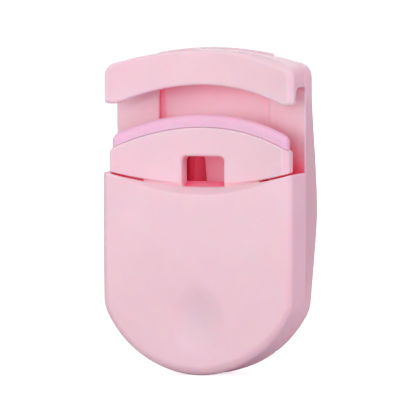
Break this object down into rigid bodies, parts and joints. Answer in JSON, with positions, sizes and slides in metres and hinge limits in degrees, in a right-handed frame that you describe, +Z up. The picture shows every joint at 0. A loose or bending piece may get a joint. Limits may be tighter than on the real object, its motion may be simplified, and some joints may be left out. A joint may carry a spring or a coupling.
{
  "type": "eyelash curler",
  "caption": "Pocket squeeze eyelash curler: fixed arched upper bar, sliding lower jaw with a silicone pad, front cover and a rear squeeze lever.",
  "frame": {"origin": "centre of the bounding box in plan, at the height of the cover's lowest point", "axes": "+Z up along the body towards the upper bar, +X to the right along the bar, -Y out of the front cover"},
  "size_m": [0.0428, 0.0238, 0.07],
  "materials": {
    "pink_cover_abs": "satin moulded, fine spark texture",
    "pink_frame_abs": "satin moulded, fine spark texture",
    "pink_jaw_abs": "satin moulded",
    "pink_lever_abs": "satin moulded, fine spark texture",
    "lash_silicone": "soft matt silicone, slightly translucent",
    "pin_steel": "drawn stainless wire, ends lightly chamfered",
    "spring_steel": "bright spring wire",
    "screw_steel": "nickel-plated steel"
  },
  "bodies": {
    "casing": {"frame_body": "pink_frame_abs", "front_cover": "pink_cover_abs", "lever_hinge_pin": "pin_steel", "return_spring_left": "spring_steel", "return_spring_right": "spring_steel", "cover_screw_left": "screw_steel", "cover_screw_right": "screw_steel"},
    "jaw": {"jaw_carrier": "pink_jaw_abs", "silicone_pad": "lash_silicone", "jaw_cam_pin": "pin_steel"},
    "lever": {"squeeze_lever": "pink_lever_abs"}
  },
  "joints": [
    {"name": "lever_squeeze", "type": "hinge", "parent": "casing", "child": "lever", "pos_m": [0, 0.0012, 0.0642], "axis": [-1, 0, 0], "range_deg": [0, 7.5], "stiffness_Nm_per_rad": 0.02, "springref_deg": -8.59},
    {"name": "jaw_slide", "type": "slide", "parent": "casing", "child": "jaw", "axis": [0, 0, 1], "range_m": [0, 0.0063], "deforming": ["return_spring_left", "return_spring_right"]}
  ],
  "couplings": [
    {"joint": "jaw_slide", "follows": "lever_squeeze", "m_per_rad": 0.047365}
  ]
}
